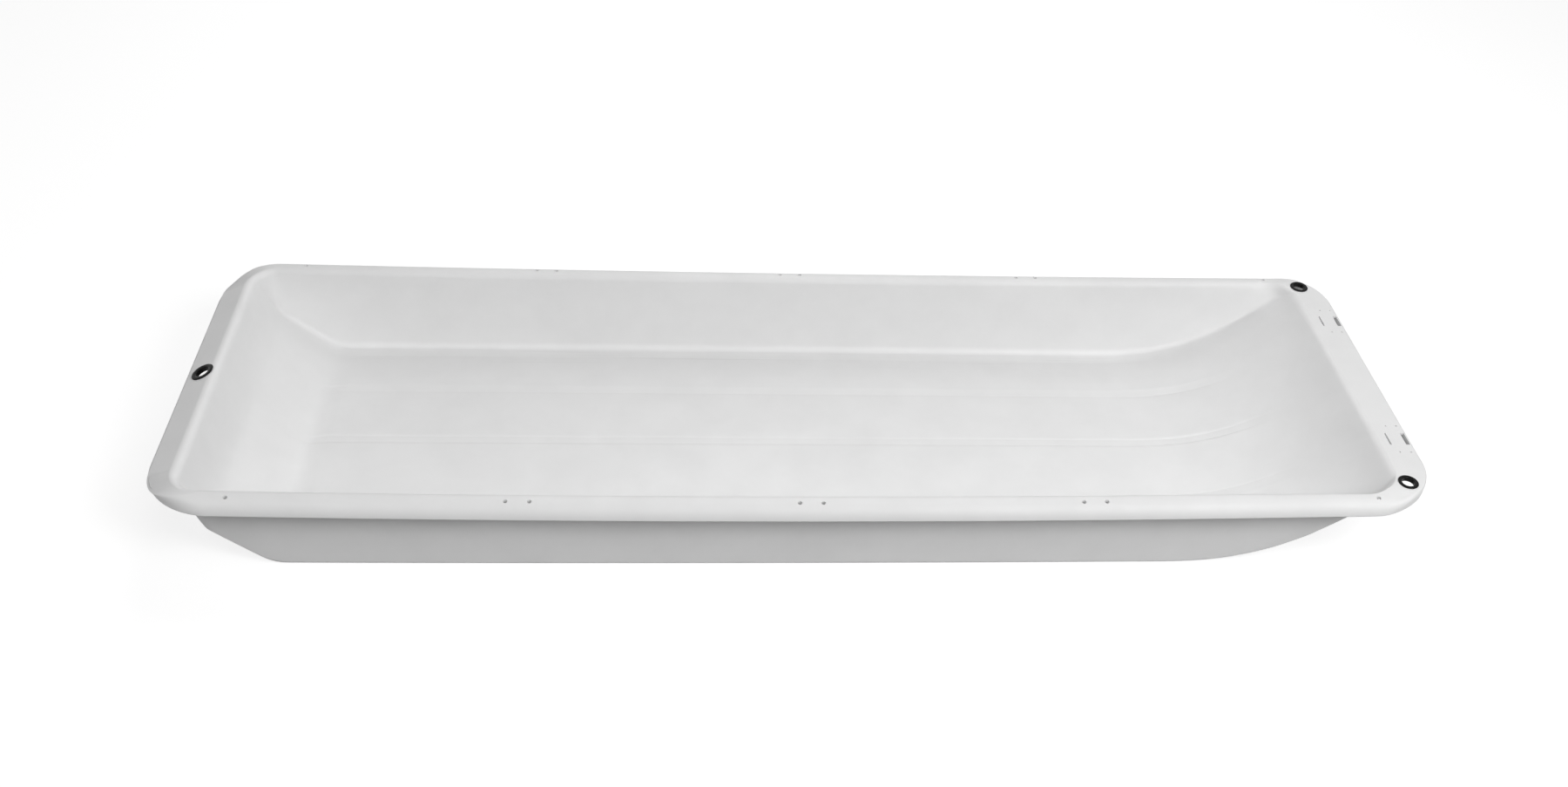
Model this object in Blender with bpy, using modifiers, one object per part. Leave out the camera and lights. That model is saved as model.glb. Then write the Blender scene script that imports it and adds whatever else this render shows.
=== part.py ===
"""White moulded pulk sled: a thin one-piece tub with a turned-down rim, and three black ring eyelets.

Units are metres. +X points to the towed front end, +Y is the sled's left side and +Z is up. The
origin lies on the ground under the middle of the sled. Levels named below are those of the middle
of the plastic sheet, measured from the ground.
"""
import math

import bmesh
import bpy
from mathutils import Matrix, Vector

# Outline of the rim, seen from above
SLED_LENGTH = 1.500
SLED_WIDTH = 0.4900
SIDE_BULGE = 0.004
REAR_FLARE = 0.0019
REAR_CORNER_RADIUS = 0.080
FRONT_CORNER_RADIUS = 0.076
REAR_CREST_CORNER_RADIUS = 0.026
FRONT_CREST_CORNER_RADIUS = 0.034
REAR_CORNER_END_PART = 0.25
FRONT_CORNER_END_PART = 0.56
SHEET_THICKNESS = 0.0036

# Height of the rim's crest along the sled
CREST_LEVEL = 0.1168
SHEER_RISE = 0.0068
SHEER_POWER = 2.0

# Section across the side rim and side wall: distances in from the lip, drops below the crest
SIDE_LIP_DROP = 0.0165
SIDE_TOP_SLOPE = math.radians(6.0)
SIDE_EDGE_RADIUS = 0.0150
SIDE_CREST_INSET = 0.0240
SIDE_CREST_RADIUS = 0.0062
SIDE_WALL_DRAFT = math.radians(3.6)
SIDE_FOOT_RADIUS = 0.0100
RUNNER_WIDTH = 0.0140

# Section across the rear rim and rear wall
REAR_LIP_DROP = 0.0170
REAR_LIP_LEAN = 0.0020
REAR_FACET_SLOPE = math.radians(22.0)
REAR_EDGE_RADIUS = 0.0040
REAR_CREST_INSET = 0.0375
REAR_CREST_RADIUS = 0.0062
REAR_KNEE_INSET = 0.0598
REAR_KNEE_HEIGHT = 0.0576
REAR_KNEE_RADIUS = 0.0400
REAR_RAMP_SLOPE = math.radians(39.0)
REAR_FOOT_RADIUS = 0.0450
REAR_FLOOR_MARGIN = 0.0100

# Section across the front rim and the upswept bow
FRONT_LIP_DROP = 0.0135
FRONT_EDGE_RADIUS = 0.0035
FRONT_CREST_INSET = 0.0415
FRONT_CREST_RISE = 0.0012
FRONT_CREST_RADIUS = 0.0080
FRONT_FLOOR_MARGIN = 0.028
UPSWEEP_RUN = 0.277
UPSWEEP_POWER = 2.6

# Floor, with a flat runner along each side, a crown between them and keels pressed down out of it
FOOT_CORNER_RADIUS = 0.014
WALL_CORNER_SWELL = 0.022
FLOOR_CROWN = 0.0096
CROWN_START_LEAD = 0.045
CROWN_START_RUN = 0.060
KEEL_DEPTH = 0.0010
KEEL_BOW_DEPTH = 0.0022
KEEL_BOW_LEAD = 0.1103
KEEL_FADE_RUN = 0.125
KEEL_MOUTH_WIDTH = 0.019
KEEL_SOLE_WIDTH = 0.011
KEEL_PITCH = 0.104

# Lashing holes along both side rims: single holes at the ends, pairs between them
LASHING_HOLE_DIAMETER = 0.005
LASHING_HOLE_INSET = 0.0122
LASHING_SINGLE_STATIONS = (-0.6476, 0.6723)
LASHING_PAIR_STATIONS = (-0.3276, 0.0049, 0.3344)
LASHING_PAIR_SPACING = 0.027

# Two strap slots and four pilot holes on each side of the front rim
STRAP_GROUP_OFFSET = 0.1230
STRAP_SLOT_LENGTH = 0.022
OUTER_SLOT_WIDTH = 0.0048
OUTER_SLOT_INSET = 0.0055
INNER_SLOT_WIDTH = 0.0020
INNER_SLOT_INSET = 0.0272
PILOT_HOLE_DIAMETER = 0.0022
OUTER_PILOT_INSET = 0.0075
INNER_PILOT_INSET = 0.0212
PILOT_SPACING = 0.0494

# Ring eyelets and the washers that they are pressed into
FRONT_EYELET_DIAMETER = 0.024
FRONT_EYELET_BORE = 0.0145
FRONT_EYELET_INSET = 0.0324
FRONT_EYELET_SIDE_INSET = 0.0420
REAR_EYELET_DIAMETER = 0.0290
REAR_EYELET_BORE = 0.0160
REAR_EYELET_INSET = 0.0203
EYELET_CROWN = 0.0014
EYELET_WALL = 0.0009
EYELET_ROLL_WIDTH = 0.0016
WASHER_THICKNESS = 0.0010
WASHER_MARGIN = 0.0015
SEAT_GAP = 0.0003

# Mesh counts
ARC_STEPS = 3
CORNER_STEPS = 2
TURN_STEPS = 28
HOLE_STEPS = 12

FLOOR_LEVEL = SHEET_THICKNESS / 2
HALF_LENGTH = (SLED_LENGTH - SHEET_THICKNESS) / 2
HALF_WIDTH = (SLED_WIDTH - SHEET_THICKNESS) / 2 - SIDE_BULGE
FRONT_LEVEL = CREST_LEVEL + SHEER_RISE + FRONT_CREST_RISE
REAR_LEVEL = CREST_LEVEL + SHEER_RISE
SIDE_DEPTH = CREST_LEVEL - FLOOR_LEVEL
REAR_WALL_DROP = REAR_LEVEL - FLOOR_LEVEL - REAR_KNEE_HEIGHT
REAR_WALL_SLOPE = math.atan2(REAR_WALL_DROP, REAR_KNEE_INSET - REAR_CREST_INSET)
REAR_FOOT_REACH = REAR_FOOT_RADIUS * math.tan(REAR_RAMP_SLOPE / 2)
REAR_KNEE_REACH = REAR_KNEE_RADIUS * math.tan((REAR_WALL_SLOPE - REAR_RAMP_SLOPE) / 2)
REAR_RAMP_RUN = REAR_KNEE_HEIGHT / math.tan(REAR_RAMP_SLOPE)
REAR_FLOOR_INSET = REAR_KNEE_INSET + REAR_RAMP_RUN + REAR_FOOT_REACH
REAR_RAMP_STRAIGHT = REAR_RAMP_RUN - (REAR_FOOT_REACH + REAR_KNEE_REACH) * math.cos(REAR_RAMP_SLOPE)
REAR_BENDS = ((0.0, REAR_FOOT_RADIUS, REAR_RAMP_SLOPE),
              (REAR_RAMP_STRAIGHT, REAR_KNEE_RADIUS, REAR_WALL_SLOPE))
SIDE_FOOT_INSET = SIDE_CREST_INSET + SIDE_DEPTH * math.tan(SIDE_WALL_DRAFT)
SIDE_FOOT_REACH = SIDE_FOOT_RADIUS * math.tan(math.pi / 4 - SIDE_WALL_DRAFT / 2)
SIDE_FLOOR_INSET = SIDE_FOOT_INSET + SIDE_FOOT_REACH + RUNNER_WIDTH
UPSWEEP_START = HALF_LENGTH - FRONT_CREST_INSET - UPSWEEP_RUN


def smooth_step(value):
    """Ease from 0 to 1 as value goes from 0 to 1."""
    value = min(max(value, 0.0), 1.0)
    return value * value * (3.0 - 2.0 * value)


def crest_level(x):
    """Height of the side rim's crest at station x: lowest amidships, higher at both ends."""
    return CREST_LEVEL + SHEER_RISE * abs(x / HALF_LENGTH) ** SHEER_POWER


def rear_rise(x):
    """Height above the floor of the ramp and the steep wall at the rear, with rounded bends."""
    left = max(REAR_FLOOR_INSET - HALF_LENGTH - x, 0.0)
    angle = 0.0
    rise = 0.0
    for straight, radius, after in REAR_BENDS:
        run = min(left, straight)
        rise += run * math.tan(angle)
        left -= run
        run = min(left, radius * (math.sin(after) - math.sin(angle)))
        reached = math.asin(math.sin(angle) + run / radius)
        rise += radius * (math.cos(angle) - math.cos(reached))
        left -= run
        angle = after
    return rise + left * math.tan(angle)


def floor_level(x, y):
    """Height of the floor at one point: crowned and keeled, and swept up at both ends."""
    inboard = max(1.0 - (y / (HALF_WIDTH - SIDE_FLOOR_INSET)) ** 2, 0.0)
    settled = smooth_step((x + HALF_LENGTH - REAR_FLOOR_INSET + CROWN_START_LEAD) / CROWN_START_RUN)
    mouth = KEEL_MOUTH_WIDTH / 2
    sole = KEEL_SOLE_WIDTH / 2
    off_axis = min(abs(y - row * KEEL_PITCH) for row in (-1, 0, 1))
    across = min(max((mouth - off_axis) / (mouth - sole), 0.0), 1.0)
    deepened = smooth_step((x - UPSWEEP_START) / KEEL_BOW_LEAD)
    fade = 1.0 - smooth_step((x - UPSWEEP_START - KEEL_BOW_LEAD) / KEEL_FADE_RUN)
    keel = (KEEL_DEPTH + (KEEL_BOW_DEPTH - KEEL_DEPTH) * deepened) * across * fade
    base = FLOOR_LEVEL + rear_rise(x) + settled * (FLOOR_CROWN * inboard - keel)
    ahead = min(max((x - UPSWEEP_START) / UPSWEEP_RUN, 0.0), 1.0)
    return base + (FRONT_LEVEL - base) * ahead ** UPSWEEP_POWER


def barrel(x, y):
    """The real y of a plan point, with the sides bulged amidships and the rear a little wider."""
    along = x / HALF_LENGTH
    swell = SIDE_BULGE * (1.0 - along * along) - REAR_FLARE * along
    return y * (1.0 + swell / HALF_WIDTH)


def filleted(corners, radii, steps=ARC_STEPS):
    """Points along a line through 2D corners whose inner corners are rounded, always the same count.

    Where two arcs would run into each other on one straight stretch, both are made smaller.
    """
    spots = [Vector(corner) for corner in corners]
    halves = []
    for before, corner, after in zip(spots, spots[1:], spots[2:]):
        halves.append((before - corner).angle(after - corner) / 2)
    reaches = [0.0] + [radius / math.tan(half) for radius, half in zip(radii, halves)] + [0.0]
    for here in range(len(spots) - 1):
        room = 0.96 * (spots[here + 1] - spots[here]).length
        wanted = reaches[here] + reaches[here + 1]
        if wanted > room:
            reaches[here] *= room / wanted
            reaches[here + 1] *= room / wanted
    points = [spots[0]]
    for index, half in enumerate(halves, start=1):
        corner = spots[index]
        back = (spots[index - 1] - corner).normalized()
        ahead = (spots[index + 1] - corner).normalized()
        middle = corner + (back + ahead).normalized() * reaches[index] / math.cos(half)
        start = corner + back * reaches[index] - middle
        end = corner + ahead * reaches[index] - middle
        sweep = math.pi - 2 * half
        for step in range(steps + 1):
            part = step / steps
            share_a = math.sin((1 - part) * sweep) / math.sin(sweep)
            share_b = math.sin(part * sweep) / math.sin(sweep)
            points.append(middle + start * share_a + end * share_b)
    points.append(spots[-1])
    return points


def rim_section(points):
    """The part of a section from the lip to the inner edge, as (inset, height above the crest, 0)."""
    return [(p.x, p.y, 0.0) for p in points[:RIM_RINGS + 1]]


def side_section():
    """Rim and wall section at the sides; wall points are (inset, 0, share of the way to the floor)."""
    edge_drop = SIDE_CREST_INSET * math.tan(SIDE_TOP_SLOPE)
    corners = [(0.0, -SIDE_LIP_DROP), (0.0, -edge_drop), (SIDE_CREST_INSET, 0.0),
               (SIDE_FOOT_INSET, -SIDE_DEPTH), (SIDE_FLOOR_INSET, -SIDE_DEPTH)]
    points = filleted(corners, (SIDE_EDGE_RADIUS, SIDE_CREST_RADIUS, SIDE_FOOT_RADIUS))
    return rim_section(points) + [(p.x, 0.0, -p.y / SIDE_DEPTH) for p in points[RIM_RINGS + 1:]]


def rear_section():
    """Rim section at the rear, with its facet down to the lip, then the steep wall and the ramp."""
    edge_drop = (REAR_CREST_INSET - REAR_LIP_LEAN) * math.tan(REAR_FACET_SLOPE)
    corners = [(0.0, -REAR_LIP_DROP), (REAR_LIP_LEAN, -edge_drop), (REAR_CREST_INSET, 0.0),
               (REAR_KNEE_INSET, -REAR_WALL_DROP)]
    rim = rim_section(filleted(corners, (REAR_EDGE_RADIUS, REAR_CREST_RADIUS)))
    knee_steps = (ARC_STEPS - 1) // 2
    foot_steps = ARC_STEPS - 1 - knee_steps
    bends = []
    for steps, before, (straight, radius, after) in ((foot_steps, 0.0, REAR_BENDS[0]),
                                                     (knee_steps, REAR_RAMP_SLOPE, REAR_BENDS[1])):
        start = (bends[-1] if bends else 0.0) + straight
        for step in range(steps + 1):
            angle = before + (after - before) * step / steps
            bends.append(start + radius * (math.sin(angle) - math.sin(before)))
    wall = [(REAR_FLOOR_INSET - run, 0.0, 1.0) for run in reversed(bends)]
    return rim + wall + [(REAR_FLOOR_INSET + REAR_FLOOR_MARGIN, 0.0, 1.0)]


def front_section():
    """Rim section at the front, which runs straight into the upswept bow."""
    slope = (FRONT_LEVEL - FLOOR_LEVEL) * UPSWEEP_POWER / UPSWEEP_RUN
    reach = FRONT_CREST_RADIUS * math.tan(math.atan(slope) / 2)
    foot = FRONT_CREST_INSET + reach * math.cos(math.atan(slope))
    corners = [(0.0, -FRONT_LIP_DROP), (0.0, 0.0), (FRONT_CREST_INSET, 0.0),
               (foot, (FRONT_CREST_INSET - foot) * slope)]
    rim = rim_section(filleted(corners, (FRONT_EDGE_RADIUS, FRONT_CREST_RADIUS)))
    spread = FRONT_FLOOR_MARGIN / (ARC_STEPS + 2)
    return rim + [(foot + step * spread, 0.0, 1.0) for step in range(1, ARC_STEPS + 3)]


RIM_RINGS = 2 * (ARC_STEPS + 1)
SIDE = side_section()
REAR = rear_section()
FRONT = front_section()
RINGS = len(SIDE) - 1


def keel_rows():
    """The y of each floor row between the corners: keel edges, and one row midway between keels."""
    mouth = KEEL_MOUTH_WIDTH / 2
    sole = KEEL_SOLE_WIDTH / 2
    rows = [HALF_WIDTH - SIDE[0][0] - max(REAR_CORNER_RADIUS, FRONT_CORNER_RADIUS)]
    rows += [KEEL_PITCH + mouth, KEEL_PITCH + sole, KEEL_PITCH - sole, KEEL_PITCH - mouth]
    rows += [KEEL_PITCH / 2, mouth, sole]
    return [-y for y in rows] + rows[::-1]


def station_columns():
    """The share of the way along the floor at which each column of the mesh lies."""
    start = -HALF_LENGTH + REAR[RINGS][0] + corner_radius(RINGS, -1)
    end = HALF_LENGTH - FRONT[RINGS][0] - corner_radius(RINGS, 1)
    flat_end = UPSWEEP_START
    stations = [start, start + 0.015, start + 0.040]
    flat_steps = 7
    bow_steps = 7
    first = stations[-1]
    stations += [first + (flat_end - first) * step / flat_steps for step in range(1, flat_steps + 1)]
    ease = [(step / bow_steps) ** 0.75 for step in range(1, bow_steps + 1)]
    stations += [flat_end + (end - flat_end) * share for share in ease]
    return [(x - start) / (end - start) for x in stations]


def corner_radius(ring, x_sign):
    """Plan radius of one ring's corners, which tightens from the lip in to the crest and down the wall."""
    lip = FRONT_CORNER_RADIUS if x_sign > 0 else REAR_CORNER_RADIUS
    crest = FRONT_CREST_CORNER_RADIUS if x_sign > 0 else REAR_CREST_CORNER_RADIUS
    if ring <= RIM_RINGS:
        return lip + (crest - lip) * SIDE[ring][0] / SIDE[RIM_RINGS][0]
    share = SIDE[ring][2]
    return crest + (FOOT_CORNER_RADIUS - crest) * share + WALL_CORNER_SWELL * (4 * share * (1 - share)) ** 2


def ring_point(ring, x_sign, y_sign, kind, share):
    """Plan place and section weights of one point on a ring.

    kind is corner, side or end. For a corner, share is the angle from the end edge towards the
    side edge in quarter turns. For side and end, share runs along the straight stretch from 0 to 1.
    """
    end = FRONT if x_sign > 0 else REAR
    radius = corner_radius(ring, x_sign)
    centre = Vector((x_sign * (HALF_LENGTH - end[ring][0] - radius),
                     y_sign * (HALF_WIDTH - SIDE[ring][0] - radius)))
    if kind == "corner":
        angle = share * math.pi / 2
        place = centre + Vector((x_sign * math.cos(angle), y_sign * math.sin(angle))) * radius
        return place, side_weight(x_sign, share)
    return centre, share


def side_weight(x_sign, quarter):
    """How far the section has turned from the end's to the side's at a point round a corner."""
    end_part = FRONT_CORNER_END_PART if x_sign > 0 else REAR_CORNER_END_PART
    return smooth_step((quarter - end_part) / (1.0 - end_part))


def section_height(ring, x, y, x_sign, weight):
    """Height of a ring at a plan point, where weight says how much of the side's section it has."""
    end = FRONT if x_sign > 0 else REAR
    end_level = FRONT_LEVEL if x_sign > 0 else REAR_LEVEL

    def height(sample, crest):
        return (1.0 - sample[2]) * (crest + sample[1]) + sample[2] * floor_level(x, y)

    return (1.0 - weight) * height(end[ring], end_level) + weight * height(SIDE[ring], crest_level(x))


def ring_vertex(ring, column, row, columns, rows, stations, lanes):
    """Place of the grid vertex at (column, row), which lies on the given ring."""
    turn = RINGS + CORNER_STEPS
    x_sign = 1 if column > columns / 2 else -1
    y_sign = 1 if row > rows / 2 else -1
    from_end = min(column, columns - column)
    from_side = min(row, rows - row)
    if from_side == ring and from_end >= turn:
        rear, _ = ring_point(ring, -1, y_sign, "side", 0)
        front, _ = ring_point(ring, 1, y_sign, "side", 0)
        x = rear.x + (front.x - rear.x) * stations[column - turn]
        y = y_sign * (HALF_WIDTH - SIDE[ring][0])
        weight = 1.0
    elif from_end == ring and from_side >= turn:
        end = FRONT if x_sign > 0 else REAR
        x = x_sign * (HALF_LENGTH - end[ring][0])
        y = lanes[row - turn]
        weight = 0.0
    else:
        if from_side == ring:
            share = 0.5 + 0.5 * (from_end - ring) / (turn - ring)
        else:
            share = 0.5 - 0.5 * (from_side - ring) / (turn - ring)
        place, weight = ring_point(ring, x_sign, y_sign, "corner", share)
        x, y = place
    return Vector((x, y, section_height(ring, x, y, x_sign, weight)))


def floor_vertex(column, row, columns, rows, edge):
    """Place of a vertex inside the last ring, blended from that ring's four edges."""
    low_x, high_x = RINGS, columns - RINGS
    low_y, high_y = RINGS, rows - RINGS
    west, east = edge(low_x, row), edge(high_x, row)
    south, north = edge(column, low_y), edge(column, high_y)
    u = (south.x - edge(low_x, low_y).x) / (edge(high_x, low_y).x - edge(low_x, low_y).x)
    v = (west.y - edge(low_x, low_y).y) / (edge(low_x, high_y).y - edge(low_x, low_y).y)
    across = west * (1 - u) + east * u
    along = south * (1 - v) + north * v
    corners = ((edge(low_x, low_y) * (1 - u) + edge(high_x, low_y) * u) * (1 - v)
               + (edge(low_x, high_y) * (1 - u) + edge(high_x, high_y) * u) * v)
    place = across + along - corners
    return Vector((place.x, place.y, floor_level(place.x, place.y)))


def shape_tub(mesh):
    """Press a flat grid of cells into the tub: rings of rim and wall round a keeled floor."""
    stations = station_columns()
    lanes = keel_rows()
    columns = 2 * (RINGS + CORNER_STEPS) + len(stations) - 1
    rows = 2 * (RINGS + CORNER_STEPS) + len(lanes) - 1
    bm = bmesh.new()
    bmesh.ops.create_grid(bm, x_segments=columns, y_segments=rows, size=0.5)

    def edge(column, row):
        return ring_vertex(RINGS, column, row, columns, rows, stations, lanes)

    for vertex in bm.verts:
        column = round((vertex.co.x + 0.5) * columns)
        row = round((vertex.co.y + 0.5) * rows)
        ring = min(column, columns - column, row, rows - row)
        if ring <= RINGS:
            place = ring_vertex(ring, column, row, columns, rows, stations, lanes)
        else:
            place = floor_vertex(column, row, columns, rows, edge)
        vertex.co = (place.x, barrel(place.x, place.y), place.z)
    bm.to_mesh(mesh)
    bm.free()


def new_collection(name):
    """A collection linked to the scene."""
    collection = bpy.data.collections.new(name)
    bpy.context.scene.collection.children.link(collection)
    return collection


def plastic(name, colour, roughness):
    """A Principled BSDF material of plain plastic."""
    material = bpy.data.materials.new(name)
    material.use_nodes = True
    shader = material.node_tree.nodes["Principled BSDF"]
    shader.inputs["Base Color"].default_value = (*colour, 1.0)
    shader.inputs["Roughness"].default_value = roughness
    shader.inputs["Metallic"].default_value = 0.0
    material.diffuse_color = (*colour, 1.0)
    return material


def add_object(name, mesh, collection, parent, material=None):
    """An object in a collection, under the sled's empty."""
    made = bpy.data.objects.new(name, mesh)
    collection.objects.link(made)
    made.parent = parent
    if material:
        mesh.materials.append(material)
    return made


def add_cylinder(bm, radius, height, matrix, steps=HOLE_STEPS):
    """Add a closed cylinder to a bmesh."""
    bmesh.ops.create_cone(bm, cap_ends=True, segments=steps, radius1=radius, radius2=radius, depth=height,
                          matrix=matrix)


def eyelet_frame(x, y, level, tilt):
    """Matrix of an eyelet's seat: the middle of the sheet, with +Z out of its upper face."""
    return Matrix.Translation((x, y, level)) @ Matrix.Rotation(tilt, 4, "Y")


def eyelet_seats():
    """Name, place, outer diameter and bore of the three eyelets."""
    front_x = HALF_LENGTH - FRONT_EYELET_INSET
    rear_x = -HALF_LENGTH + REAR_EYELET_INSET
    rear_level = REAR_LEVEL - (REAR_CREST_INSET - REAR_EYELET_INSET) * math.tan(REAR_FACET_SLOPE)
    seats = [("rear", eyelet_frame(rear_x, 0.0, rear_level, -REAR_FACET_SLOPE), REAR_EYELET_DIAMETER,
              REAR_EYELET_BORE)]
    for name, side in (("front_left", 1), ("front_right", -1)):
        place = eyelet_frame(front_x, side * (SLED_WIDTH / 2 - FRONT_EYELET_SIDE_INSET), FRONT_LEVEL, 0.0)
        seats.append((name, place, FRONT_EYELET_DIAMETER, FRONT_EYELET_BORE))
    return seats


def add_cutters(collection, parent):
    """One mesh of every hole and slot that is punched through the rim."""
    bm = bmesh.new()
    reach = 0.020
    lashing = list(LASHING_SINGLE_STATIONS)
    for station in LASHING_PAIR_STATIONS:
        lashing += [station - LASHING_PAIR_SPACING / 2, station + LASHING_PAIR_SPACING / 2]
    for side in (-1, 1):
        for x in lashing:
            y = side * barrel(x, HALF_WIDTH - LASHING_HOLE_INSET)
            place = Matrix.Translation((x, y, crest_level(x)))
            add_cylinder(bm, LASHING_HOLE_DIAMETER / 2, reach, place)
        middle = side * STRAP_GROUP_OFFSET
        for inset, width in ((OUTER_SLOT_INSET, OUTER_SLOT_WIDTH), (INNER_SLOT_INSET, INNER_SLOT_WIDTH)):
            shape = Matrix.Diagonal((width, STRAP_SLOT_LENGTH, reach, 1.0))
            place = Matrix.Translation((HALF_LENGTH - inset, middle, FRONT_LEVEL))
            bmesh.ops.create_cube(bm, size=1.0, matrix=place @ shape)
        for inset in (OUTER_PILOT_INSET, INNER_PILOT_INSET):
            for end in (-1, 1):
                place = (HALF_LENGTH - inset, middle + end * PILOT_SPACING / 2, FRONT_LEVEL)
                add_cylinder(bm, PILOT_HOLE_DIAMETER / 2, reach, Matrix.Translation(place), steps=8)
    for _, frame, _, bore in eyelet_seats():
        radius = bore / 2 + EYELET_WALL + SEAT_GAP
        add_cylinder(bm, radius, reach, frame, steps=TURN_STEPS)
    mesh = bpy.data.meshes.new("rim_punches")
    bm.to_mesh(mesh)
    bm.free()
    cutter = add_object("rim_punches", mesh, collection, parent)
    cutter.hide_render = True
    cutter.display_type = "WIRE"
    return cutter


def add_tub(collection, parent, cutter, material):
    """The tub: an open pressed sheet given its thickness, then punched."""
    mesh = bpy.data.meshes.new("sled_tub")
    shape_tub(mesh)
    tub = add_object("sled_tub", mesh, collection, parent, material)
    mesh.shade_smooth()
    wall = tub.modifiers.new("sheet", "SOLIDIFY")
    wall.thickness = SHEET_THICKNESS
    wall.offset = 0.0
    wall.use_even_offset = True
    holes = tub.modifiers.new("punches", "BOOLEAN")
    holes.operation = "DIFFERENCE"
    holes.solver = "EXACT"
    holes.object = cutter
    shading = tub.modifiers.new("shading", "WEIGHTED_NORMAL")
    shading.keep_sharp = True
    return tub


def add_turned(name, profile, frame, collection, parent, material):
    """A ring turned from a closed (radius, height) profile, with its axis on the frame's Z."""
    bm = bmesh.new()
    vertices = [bm.verts.new((radius, 0.0, height)) for radius, height in profile]
    for here, there in zip(vertices, vertices[1:] + vertices[:1]):
        bm.edges.new((here, there))
    mesh = bpy.data.meshes.new(name)
    bm.to_mesh(mesh)
    bm.free()
    ring = add_object(name, mesh, collection, parent, material)
    ring.matrix_local = frame
    turn = ring.modifiers.new("turn", "SCREW")
    turn.axis = "Z"
    turn.steps = TURN_STEPS
    turn.render_steps = TURN_STEPS
    turn.use_merge_vertices = True
    turn.merge_threshold = 0.00001
    return ring


def eyelet_profile(diameter, bore):
    """Half section of an eyelet: domed flange on top, barrel through the sheet, rolled end below."""
    inner = bore / 2
    barrel_radius = inner + EYELET_WALL
    outer = diameter / 2
    top = SHEET_THICKNESS / 2 + SEAT_GAP
    roll_top = -SHEET_THICKNESS / 2 - WASHER_THICKNESS - 2 * SEAT_GAP
    dome = []
    steps = 6
    for step in range(steps + 1):
        angle = math.pi * step / steps
        middle = (outer + inner) / 2
        dome.append((middle + (outer - inner) / 2 * math.cos(angle), top + EYELET_CROWN * math.sin(angle)))
    dome[-1] = (inner, top)
    roll = [(inner, roll_top - EYELET_WALL), (barrel_radius + EYELET_ROLL_WIDTH, roll_top - EYELET_WALL / 2),
            (barrel_radius + EYELET_ROLL_WIDTH, roll_top), (barrel_radius, roll_top)]
    shank = [(barrel_radius, top)]
    return (dome + roll + shank)[::-1]


def washer_profile(diameter, bore):
    """Half section of the flat washer under the sheet."""
    inner = bore / 2 + EYELET_WALL + SEAT_GAP
    outer = diameter / 2 - WASHER_MARGIN
    top = -SHEET_THICKNESS / 2 - SEAT_GAP
    return [(outer, top), (outer, top - WASHER_THICKNESS), (inner, top - WASHER_THICKNESS), (inner, top)]


def main():
    """Clear the scene and build the sled."""
    for old in list(bpy.data.objects):
        bpy.data.objects.remove(old, do_unlink=True)
    parts = new_collection("pulk_sled")
    cutters = new_collection("cutters")
    sled = bpy.data.objects.new("sled_frame", None)
    parts.objects.link(sled)
    white = plastic("white_polyethylene", (0.80, 0.80, 0.79), 0.32)
    black = plastic("black_lacquer", (0.012, 0.012, 0.013), 0.18)
    cutter = add_cutters(cutters, sled)
    add_tub(parts, sled, cutter, white)
    for name, frame, diameter, bore in eyelet_seats():
        add_turned(f"{name}_eyelet", eyelet_profile(diameter, bore), frame, parts, sled, black)
        add_turned(f"{name}_washer", washer_profile(diameter, bore), frame, parts, sled, black)


main()
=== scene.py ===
"""Looks of a white moulded pulk sled with three black ring eyelets.

Lengths are in metres in the sled's own frame: +X to the towed front end, +Y to its left, +Z up,
and the ground at zero. Levels are those of the middle of the plastic sheet.
"""
from __future__ import annotations

import logging
import math
from dataclasses import dataclass, field, replace
from enum import Enum

import bmesh
import bpy
from mathutils import Matrix, Vector

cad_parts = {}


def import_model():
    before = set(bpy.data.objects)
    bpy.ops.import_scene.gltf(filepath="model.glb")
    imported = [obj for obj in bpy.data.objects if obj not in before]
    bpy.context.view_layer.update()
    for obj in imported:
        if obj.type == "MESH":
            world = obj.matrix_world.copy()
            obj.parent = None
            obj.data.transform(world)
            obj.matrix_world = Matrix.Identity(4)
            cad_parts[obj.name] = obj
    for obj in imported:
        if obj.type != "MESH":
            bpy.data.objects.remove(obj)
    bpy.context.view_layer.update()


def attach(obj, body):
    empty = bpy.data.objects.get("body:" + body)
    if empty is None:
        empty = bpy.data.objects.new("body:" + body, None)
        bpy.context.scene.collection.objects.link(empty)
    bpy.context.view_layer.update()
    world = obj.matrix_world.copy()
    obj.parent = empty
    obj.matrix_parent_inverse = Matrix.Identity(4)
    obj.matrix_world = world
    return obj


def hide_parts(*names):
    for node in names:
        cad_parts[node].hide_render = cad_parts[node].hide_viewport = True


LOG = logging.getLogger("pulk_sled")
BODY = "root"
WELD = 1e-6  # vertices of a turned solid that are nearer than this are one
ARC_ROOM = 0.96  # how much of an edge the arcs at its two ends may take

BMesh = bmesh.types.BMesh
Tree = bpy.types.NodeTree
Socket = bpy.types.NodeSocket
Material = bpy.types.Material
Pair = tuple[float, float]
Triple = tuple[float, float, float]


class SledEnd(Enum):
    """The two ends of the sled, as the sign of X."""

    REAR = -1
    FRONT = 1


class SheetFace(Enum):
    """The two faces of the plastic sheet, as the sign of their offset from its middle."""

    INSIDE = 1
    UNDERSIDE = -1


def by_end(rear: float, front: float) -> dict[SledEnd, float]:
    """A dataclass field with one size for each end."""
    return field(default_factory=lambda: {SledEnd.REAR: rear, SledEnd.FRONT: front})


def smooth_step(value: float) -> float:
    """Ease from 0 to 1.

    Args:
        value: Position between the two ends; values outside 0 to 1 are clamped.

    Returns:
        The eased value.
    """
    value = min(max(value, 0.0), 1.0)
    return value * value * (3.0 - 2.0 * value)


def lerp(start: float, end: float, part: float) -> float:
    """The value part of the way from start to end."""
    return start + (end - start) * part


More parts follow.
